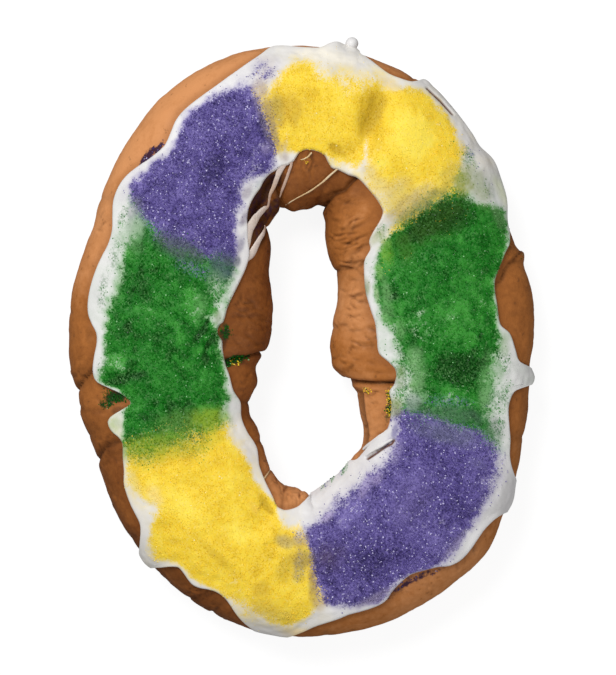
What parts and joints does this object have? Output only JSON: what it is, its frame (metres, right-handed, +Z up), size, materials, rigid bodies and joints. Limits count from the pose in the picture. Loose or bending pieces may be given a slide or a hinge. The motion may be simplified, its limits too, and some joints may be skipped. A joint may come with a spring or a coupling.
{
  "type": "king cake",
  "caption": "Oval ring of baked sweet dough with a domed top, a flat base and a draped sheet of white icing; festive baked food that rests on its base.",
  "frame": {"origin": "on the table under the middle of the ring's box", "axes": "+X across the ring, +Y along its length, +Z up"},
  "size_m": [0.2986, 0.3845, 0.0642],
  "materials": {
    "baked_dough": "soft baked crust, golden brown, slightly waxy",
    "white_icing": "set white sugar icing, satin, under coarse coloured sugar"
  },
  "bodies": {
    "root": {"dough_ring": "baked_dough", "icing": "white_icing"}
  },
  "joints": []
}
